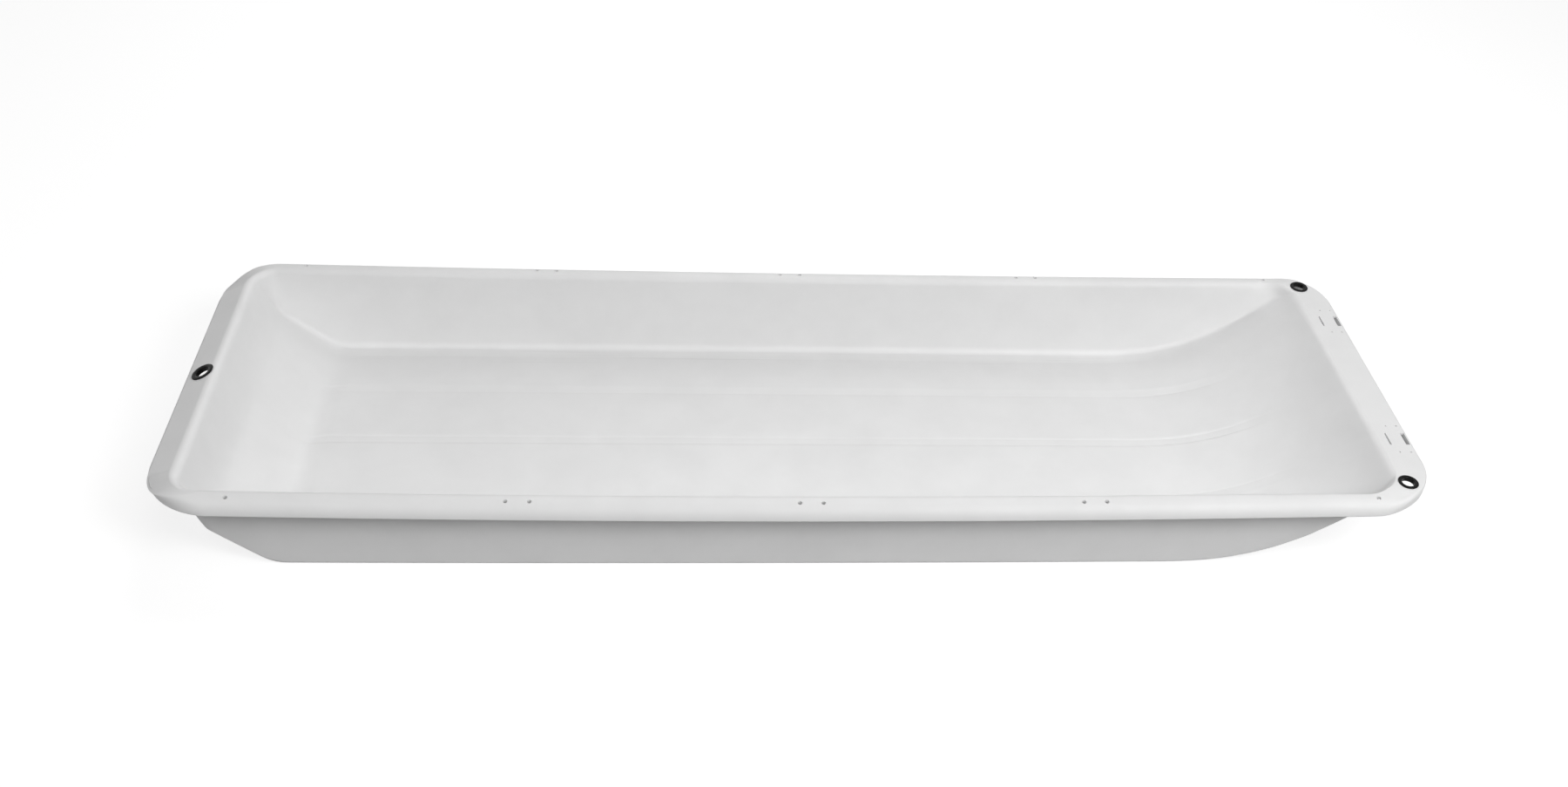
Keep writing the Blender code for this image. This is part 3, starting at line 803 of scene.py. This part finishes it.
@dataclass
class RingEyelet:
    """A black ring eyelet pressed through the rim and clenched over a washer."""

    name: str
    frame: Matrix
    diameter: float
    bore: float
    sheet: float = 0.0036
    crown: float = 0.0012
    wall: float = 0.0007
    roll_width: float = 0.0016
    washer_thickness: float = 0.0006
    washer_margin: float = 0.0015
    gap: float = 0.0003
    relief: float = 0.0004
    crown_fullness: float = 0.85
    crown_steps: int = 24
    flare_steps: int = 8
    steps: int = 96

    def seat(self) -> Punch:
        """The hole that the barrel needs in the rim."""
        return Punch(self.frame, self.bore / 2 + self.wall + self.gap, relief=self.relief)

    def ring_profile(self) -> list[Pair]:
        """Half section of the eyelet: crowned flange, barrel, and an end that flares out below."""
        inner = self.bore / 2
        outer = self.diameter / 2
        top = self.sheet / 2 + self.gap
        flare_top = -self.sheet / 2 - self.gap
        roll_top = flare_top - self.washer_thickness - self.gap
        roll_reach = inner + self.wall + self.roll_width
        middle = (outer + inner) / 2
        half_width = (outer - inner) / 2
        points = []
        for step in range(self.crown_steps + 1):
            angle = math.pi * step / self.crown_steps
            height = self.crown * max(math.sin(angle), 0.0) ** self.crown_fullness
            points.append((middle + half_width * math.cos(angle), top + height))
        for step in range(self.flare_steps + 1):
            angle = math.pi / 2 * step / self.flare_steps
            points.append((lerp(roll_reach, inner, math.cos(angle)),
                           lerp(flare_top, roll_top - self.wall, math.sin(angle))))
        return points + [(roll_reach, roll_top), (inner + self.wall, roll_top), (inner + self.wall, top)]

    def washer_profile(self) -> list[Pair]:
        """Half section of the washer, with softened edges."""
        inner = self.bore / 2 + self.wall + self.gap
        outer = self.diameter / 2 - self.washer_margin
        top = -self.sheet / 2 - self.gap
        bottom = top - self.washer_thickness
        soft = self.washer_thickness / 4
        return [(outer - soft, top), (outer, top - soft), (outer, bottom + soft), (outer - soft, bottom),
                (inner + soft, bottom), (inner, bottom + soft), (inner, top - soft), (inner + soft, top)]

    def build(self, finish: Material) -> None:
        """Make the ring and its washer, and let them stand for their CAD nodes.

        Args:
            finish: The black lacquer.
        """
        for part, profile in (("eyelet", self.ring_profile()), ("washer", self.washer_profile())):
            bm = bmesh.new()
            add_turned(bm, profile, self.frame, self.steps)
            piece = add_piece(f"{self.name}_{part}_ring", bm, finish)
            even_shading(piece)
            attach(piece, BODY)
            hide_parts(f"{self.name}_{part}")
            LOG.info("%s: %d faces", piece.name, len(piece.data.polygons))


@dataclass(frozen=True)
class EyeletPlaces:
    """Where the three eyelets sit on the rim."""

    front_inset: float = 0.0324
    front_offset: float = 0.2030
    front_diameter: float = 0.0240
    front_bore: float = 0.0150
    rear_inset: float = 0.0203
    rear_diameter: float = 0.0290
    rear_bore: float = 0.0166

    def rings(self, form: TubForm) -> list[RingEyelet]:
        """The three eyelets.

        Args:
            form: The tub's form.

        Returns:
            The rear eyelet on the sloping facet, and one at each front corner.
        """
        rear_drop = (form.rear_crest_inset - self.rear_inset) * math.tan(form.rear_facet_slope)
        rear = Matrix.Translation((self.rear_inset - form.half_length, 0.0, form.rear_level - rear_drop))
        rear @= Matrix.Rotation(-form.rear_facet_slope, 4, "Y")
        rings = [RingEyelet("rear", rear, self.rear_diameter, self.rear_bore)]
        for name, side in (("front_left", 1), ("front_right", -1)):
            place = (form.half_length - self.front_inset, side * self.front_offset, form.front_level)
            rings.append(RingEyelet(name, Matrix.Translation(place), self.front_diameter, self.front_bore))
        return rings


def new_group(name: str, inputs: tuple[str, ...], outputs: tuple[str, ...]) -> Tree:
    """Start a shader node group of plain values.

    Args:
        name: Name of the group.
        inputs: Names of its inputs.
        outputs: Names of its outputs.

    Returns:
        The group, with its input and output nodes.
    """
    group = bpy.data.node_groups.new(name, "ShaderNodeTree")
    for way, labels in (("INPUT", inputs), ("OUTPUT", outputs)):
        for label in labels:
            group.interface.new_socket(label, in_out=way, socket_type="NodeSocketFloat")
    group.nodes.new("NodeGroupInput").name = "in"
    group.nodes.new("NodeGroupOutput").name = "out"
    return group


def place_group(tree: Tree, group: Tree, values: dict[str, float]) -> bpy.types.Node:
    """Place a node group in a material's tree.

    Args:
        tree: Node tree that takes the group.
        group: The group.
        values: Value of each of its inputs.

    Returns:
        The group's node.
    """
    node = tree.nodes.new("ShaderNodeGroup")
    node.node_tree = group
    for label, value in values.items():
        node.inputs[label].default_value = value
    return node


def add_noise(tree: Tree, spots: Socket, detail: float, roughness: float) -> bpy.types.Node:
    """Add a noise texture that reads the given coordinates."""
    noise = tree.nodes.new("ShaderNodeTexNoise")
    noise.inputs["Detail"].default_value = detail
    noise.inputs["Roughness"].default_value = roughness
    tree.links.new(spots, noise.inputs["Vector"])
    return noise


def add_math(tree: Tree, operation: str, *terms: object) -> Socket:
    """Add a math node.

    Args:
        tree: Node tree that takes it.
        operation: Blender's name of the operation.
        terms: Sockets or numbers.

    Returns:
        The result's socket.
    """
    node = tree.nodes.new("ShaderNodeMath")
    node.operation = operation
    for value, socket in zip(terms, node.inputs):
        if isinstance(value, (int, float)):
            socket.default_value = value
        else:
            tree.links.new(value, socket)
    return node.outputs[0]


def add_ramp(tree: Tree, value: Socket, given: Pair, wanted: Pair) -> Socket:
    """Map one range of a value to another.

    Args:
        tree: Node tree that takes the Map Range node.
        value: The value.
        given: Both ends of its range.
        wanted: Results at these ends.

    Returns:
        The mapped value's socket.
    """
    node = tree.nodes.new("ShaderNodeMapRange")
    for label, number in zip(("From Min", "From Max", "To Min", "To Max"), given + wanted):
        node.inputs[label].default_value = number
    tree.links.new(value, node.inputs["Value"])
    return node.outputs["Result"]


def add_colour_mix(tree: Tree, share: Socket, first: object, second: object) -> Socket:
    """Mix two colours.

    Args:
        tree: Node tree that takes the Mix node.
        share: How much of the second colour shows.
        first: A colour or a colour socket.
        second: A colour or a colour socket.

    Returns:
        The mixed colour's socket.
    """
    mix = tree.nodes.new("ShaderNodeMix")
    mix.data_type = "RGBA"
    inputs = {socket.identifier: socket for socket in mix.inputs}
    tree.links.new(share, inputs["Factor_Float"])
    for colour, socket in ((first, inputs["A_Color"]), (second, inputs["B_Color"])):
        if isinstance(colour, tuple):
            socket.default_value = (*colour, 1.0)
        else:
            tree.links.new(colour, socket)
    return next(socket for socket in mix.outputs if socket.identifier == "Result_Color")


class MouldedSurface:
    """Node group for a skin from a mould or a spray gun: fine grain on a slow ripple.

    Attributes:
        NOISES: Detail and roughness of the noises for grain, ripple and clouds.
        CLOUD_SCALE: Scale of the clouds, as a multiple of the ripple's.
        GRAIN_GLOSS: How much the grain adds to the gloss.
    """

    NAME = "moulded_surface"
    NOISES = ((3.0, 0.55), (2.0, 0.45), (4.0, 0.60))
    CLOUD_SCALE = 2.3
    GRAIN_GLOSS = 0.35

    def group(self) -> Tree:
        """The group, built once, with a height, and a gloss and a shade that vary."""
        if self.NAME in bpy.data.node_groups:
            return bpy.data.node_groups[self.NAME]
        group = new_group(self.NAME, ("Grain Scale", "Ripple Scale", "Grain Height", "Ripple Height"),
                          ("Height", "Gloss", "Shade"))
        given = group.nodes["in"].outputs
        spots = group.nodes.new("ShaderNodeTexCoord").outputs["Object"]
        grain, ripple, cloud = (add_noise(group, spots, *noise) for noise in self.NOISES)
        group.links.new(given["Grain Scale"], grain.inputs["Scale"])
        group.links.new(given["Ripple Scale"], ripple.inputs["Scale"])
        cloud_scale = add_math(group, "MULTIPLY", given["Ripple Scale"], self.CLOUD_SCALE)
        group.links.new(cloud_scale, cloud.inputs["Scale"])
        fine = add_math(group, "MULTIPLY", grain.outputs["Fac"], given["Grain Height"])
        height = add_math(group, "MULTIPLY_ADD", ripple.outputs["Fac"], given["Ripple Height"], fine)
        gloss = add_math(group, "MULTIPLY_ADD", grain.outputs["Fac"], self.GRAIN_GLOSS, cloud.outputs["Fac"])
        outputs = group.nodes["out"].inputs
        group.links.new(height, outputs["Height"])
        group.links.new(gloss, outputs["Gloss"])
        group.links.new(cloud.outputs["Fac"], outputs["Shade"])
        return group


class RubMarks:
    """Node group for fine rubs that run along the sled, stronger towards the ground.

    Attributes:
        STRETCH: How fast the streaks vary along each axis.
        TURN: Turn of the streaks about the vertical.
        NOISE: Detail and roughness of the streaks' noise.
        STREAKS: Noise values between which a streak comes up.
    """

    NAME = "rub_marks"
    STRETCH = (5.0, 420.0, 140.0)
    TURN = math.radians(1.5)
    NOISE = (2.0, 0.5)
    STREAKS = (0.60, 0.72)

    def group(self) -> Tree:
        """The group: long thin streaks, as a mask that fades with height."""
        group = new_group(self.NAME, ("Density", "Ground Reach"), ("Mask",))
        given = group.nodes["in"].outputs
        spots = group.nodes.new("ShaderNodeTexCoord").outputs["Object"]
        stretch = group.nodes.new("ShaderNodeMapping")
        stretch.inputs["Scale"].default_value = self.STRETCH
        stretch.inputs["Rotation"].default_value = (0.0, 0.0, self.TURN)
        group.links.new(spots, stretch.inputs["Vector"])
        streak = add_noise(group, stretch.outputs["Vector"], *self.NOISE)
        streak.inputs["Scale"].default_value = 1.0
        ridge = add_ramp(group, streak.outputs["Fac"], self.STREAKS, (0.0, 1.0))
        height = group.nodes.new("ShaderNodeSeparateXYZ")
        group.links.new(spots, height.inputs["Vector"])
        low = add_ramp(group, height.outputs["Z"], (0.0, 1.0), (1.0, 0.0))
        group.links.new(given["Ground Reach"], low.node.inputs["From Max"])
        worn = add_math(group, "MULTIPLY", ridge, low)
        mask = add_math(group, "MULTIPLY", worn, given["Density"])
        group.links.new(mask, group.nodes["out"].inputs["Mask"])
        return group


def start_material(name: str) -> tuple[Material, bpy.types.Node]:
    """Make a material with a Principled BSDF.

    Args:
        name: Name of the material.

    Returns:
        The material and its shader node.
    """
    material = bpy.data.materials.new(name)
    material.use_nodes = True
    return material, material.node_tree.nodes["Principled BSDF"]


@dataclass(frozen=True)
class MouldedFinish:
    """A finish that clouds from one colour into another, over the shared moulded surface.

    Attributes:
        name: Name of the material.
        colour: Its main colour.
        cloudy_colour: Colour that it clouds into.
        roughness: Its roughness where the gloss is least and most.
        ior: Its index of refraction.
        surface: Values of the shared surface's inputs.
        bump_strength: Strength of the bump.
        bump_depth: Height that a value of 1 stands for.
        cloud_range: Shade values between which the clouds come up.
        gloss_range: Gloss values between which the roughness changes.
    """

    name: str
    colour: Triple
    cloudy_colour: Triple
    roughness: Pair
    ior: float
    surface: dict[str, float]
    bump_strength: float
    bump_depth: float
    cloud_range: Pair = (0.35, 0.75)
    gloss_range: Pair = (0.45, 0.90)

    def worn(self, tree: Tree, colour: Socket, roughness: Socket) -> tuple[Socket, Socket]:
        """Colour and roughness after wear, which changes nothing here."""
        return colour, roughness

    def material(self) -> Material:
        """The finish as a material."""
        material, shader = start_material(self.name)
        tree = material.node_tree
        skin = place_group(tree, MouldedSurface().group(), self.surface)
        cloudy = add_ramp(tree, skin.outputs["Shade"], self.cloud_range, (0.0, 1.0))
        clouded = add_colour_mix(tree, cloudy, self.colour, self.cloudy_colour)
        satin = add_ramp(tree, skin.outputs["Gloss"], self.gloss_range, self.roughness)
        colour, roughness = self.worn(tree, clouded, satin)
        tree.links.new(colour, shader.inputs["Base Color"])
        tree.links.new(roughness, shader.inputs["Roughness"])
        shader.inputs["IOR"].default_value = self.ior
        bump = tree.nodes.new("ShaderNodeBump")
        bump.inputs["Strength"].default_value = self.bump_strength
        bump.inputs["Distance"].default_value = self.bump_depth
        tree.links.new(skin.outputs["Height"], bump.inputs["Height"])
        tree.links.new(bump.outputs["Normal"], shader.inputs["Normal"])
        return material


@dataclass(frozen=True)
class Polyethylene(MouldedFinish):
    """Satin white polyethylene, as it comes off a mould, with rubs low on the hull."""

    name: str = "white_polyethylene"
    colour: Triple = (0.800, 0.800, 0.800)
    cloudy_colour: Triple = (0.770, 0.770, 0.770)
    rubbed_colour: Triple = (0.60, 0.60, 0.60)
    roughness: Pair = (0.50, 0.62)
    ior: float = 1.50
    surface: dict[str, float] = field(default_factory=lambda: {
        "Grain Scale": 850.0, "Ripple Scale": 7.0, "Grain Height": 0.10, "Ripple Height": 1.0})
    rubs: dict[str, float] = field(default_factory=lambda: {"Density": 0.5, "Ground Reach": 0.006})
    bump_strength: float = 0.35
    bump_depth: float = 0.0016

    def worn(self, tree: Tree, colour: Socket, roughness: Socket) -> tuple[Socket, Socket]:
        """Colour and roughness with the rubs over them."""
        mask = place_group(tree, RubMarks().group(), self.rubs).outputs["Mask"]
        rubbed = add_colour_mix(tree, mask, colour, self.rubbed_colour)
        return rubbed, add_math(tree, "ADD", roughness, mask)


@dataclass(frozen=True)
class BlackLacquer(MouldedFinish):
    """Glossy black lacquer on pressed metal."""

    name: str = "black_lacquer"
    colour: Triple = (0.004, 0.004, 0.004)
    cloudy_colour: Triple = (0.008, 0.008, 0.008)
    roughness: Pair = (0.14, 0.28)
    ior: float = 1.18
    surface: dict[str, float] = field(default_factory=lambda: {
        "Grain Scale": 1500.0, "Ripple Scale": 90.0, "Grain Height": 0.15, "Ripple Height": 0.5})
    bump_strength: float = 0.25
    bump_depth: float = 0.0003


def add_seen_mask(tree: Tree) -> Socket:
    """Add a value that is 1 for camera, glossy and transmission rays, and 0 for the light's own."""
    path = tree.nodes.new("ShaderNodeLightPath")
    seen = add_math(tree, "MAXIMUM", path.outputs["Is Camera Ray"], path.outputs["Is Glossy Ray"])
    return add_math(tree, "MAXIMUM", seen, path.outputs["Is Transmission Ray"])


@dataclass(frozen=True)
class StudioFloor:
    """Pale sweep that the camera sees as white and that keeps the sled's shadow."""

    colour: Triple = (0.35, 0.35, 0.35)
    roughness: float = 0.9
    lift: float = 0.76

    def material(self) -> Material:
        """The floor's finish: matt, and lifted only for camera, glossy and transmission rays."""
        material, shader = start_material("studio_floor")
        tree = material.node_tree
        shader.inputs["Base Color"].default_value = (*self.colour, 1.0)
        shader.inputs["Roughness"].default_value = self.roughness
        shader.inputs["Emission Color"].default_value = (1.0, 1.0, 1.0, 1.0)
        lift = add_math(tree, "MULTIPLY", add_seen_mask(tree), self.lift)
        tree.links.new(lift, shader.inputs["Emission Strength"])
        return material


@dataclass(frozen=True)
class SoftBox:
    """One square studio lamp.

    Attributes:
        name: Name of the lamp.
        place: Where it hangs.
        size: Length of its side.
        power: Radiant power in watts.
        aim: Point that it faces.
    """

    name: str
    place: Triple
    size: float
    power: float
    aim: Triple = (0.0, 0.0, 0.05)

    def build(self) -> None:
        """Hang the lamp."""
        light = bpy.data.lights.new(self.name, "AREA")
        light.shape = "SQUARE"
        light.size = self.size
        light.energy = self.power
        lamp = bpy.data.objects.new(self.name, light)
        lamp.location = self.place
        lamp.rotation_euler = (Vector(self.aim) - Vector(self.place)).to_track_quat("-Z", "Y").to_euler()
        bpy.context.scene.collection.objects.link(lamp)


@dataclass
class Studio:
    """Floor, lamps, surrounding light and the photograph's camera."""

    floor_size: float = 9.0
    surround: float = 0.02
    camera_place: Triple = (-0.1526, -1.4839, 1.2774)
    camera_turn: float = math.radians(-5.35)
    camera_dip: float = math.radians(38.5)
    camera_roll: float = math.radians(3.777)
    focal_length: float = 34.442
    sensor_width: float = 36.0
    near_clip: float = 0.05
    lamps: tuple[SoftBox, ...] = (
        SoftBox("right_front_box", (1.5, -1.6, 2.1), 1.2, 55.8),
        SoftBox("left_front_box", (-1.5, -1.6, 2.1), 1.2, 21.3),
        SoftBox("low_front_box", (0.0, -3.0, 0.6), 1.0, 2.9),
        SoftBox("back_high_box", (0.2, 1.4, 2.3), 1.2, 16.9),
        SoftBox("back_box", (0.0, 2.6, 1.6), 1.6, 15.3),
    )

    def build(self) -> None:
        """Set up the whole studio."""
        self.build_floor()
        for lamp in self.lamps:
            lamp.build()
        self.build_surround()
        self.build_camera()

    def build_floor(self) -> None:
        """Lay the white floor."""
        bm = bmesh.new()
        bmesh.ops.create_grid(bm, x_segments=2, y_segments=2, size=self.floor_size / 2)
        floor = add_piece("studio_sweep", bm, StudioFloor().material())

    def build_surround(self) -> None:
        """Give the world a faint even light, and a white that only the camera and gloss see."""
        world = bpy.data.worlds.new("studio_surround")
        world.use_nodes = True
        background = world.node_tree.nodes["Background"]
        background.inputs["Color"].default_value = (1.0, 1.0, 1.0, 1.0)
        seen = add_seen_mask(world.node_tree)
        strength = add_math(world.node_tree, "MAXIMUM", seen, self.surround)
        world.node_tree.links.new(strength, background.inputs["Strength"])
        bpy.context.scene.world = world

    def build_camera(self) -> None:
        """Place the camera where the photograph was taken."""
        data = bpy.data.cameras.new("photo_camera")
        data.sensor_width = self.sensor_width
        data.lens = self.focal_length
        data.clip_start = self.near_clip
        camera = bpy.data.objects.new("photo_camera", data)
        turn = Matrix.Rotation(self.camera_turn, 4, "Z")
        dip = Matrix.Rotation(math.pi / 2 - self.camera_dip, 4, "X")
        roll = Matrix.Rotation(self.camera_roll, 4, "Z")
        camera.matrix_world = Matrix.Translation(self.camera_place) @ turn @ dip @ roll
        bpy.context.scene.collection.objects.link(camera)
        bpy.context.scene.camera = camera


def main() -> None:
    """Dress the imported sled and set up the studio."""
    logging.basicConfig(level=logging.INFO, format="%(name)s: %(message)s")
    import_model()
    form = TubForm()
    plastic = Polyethylene().material()
    lacquer = BlackLacquer().material()
    rings = EyeletPlaces().rings(form)
    Tub(form).build([ring.seat() for ring in rings], plastic)
    for ring in rings:
        ring.build(lacquer)
    Studio().build()
    bpy.context.scene.view_settings.view_transform = "Standard"


if __name__ == "__main__":
    main()
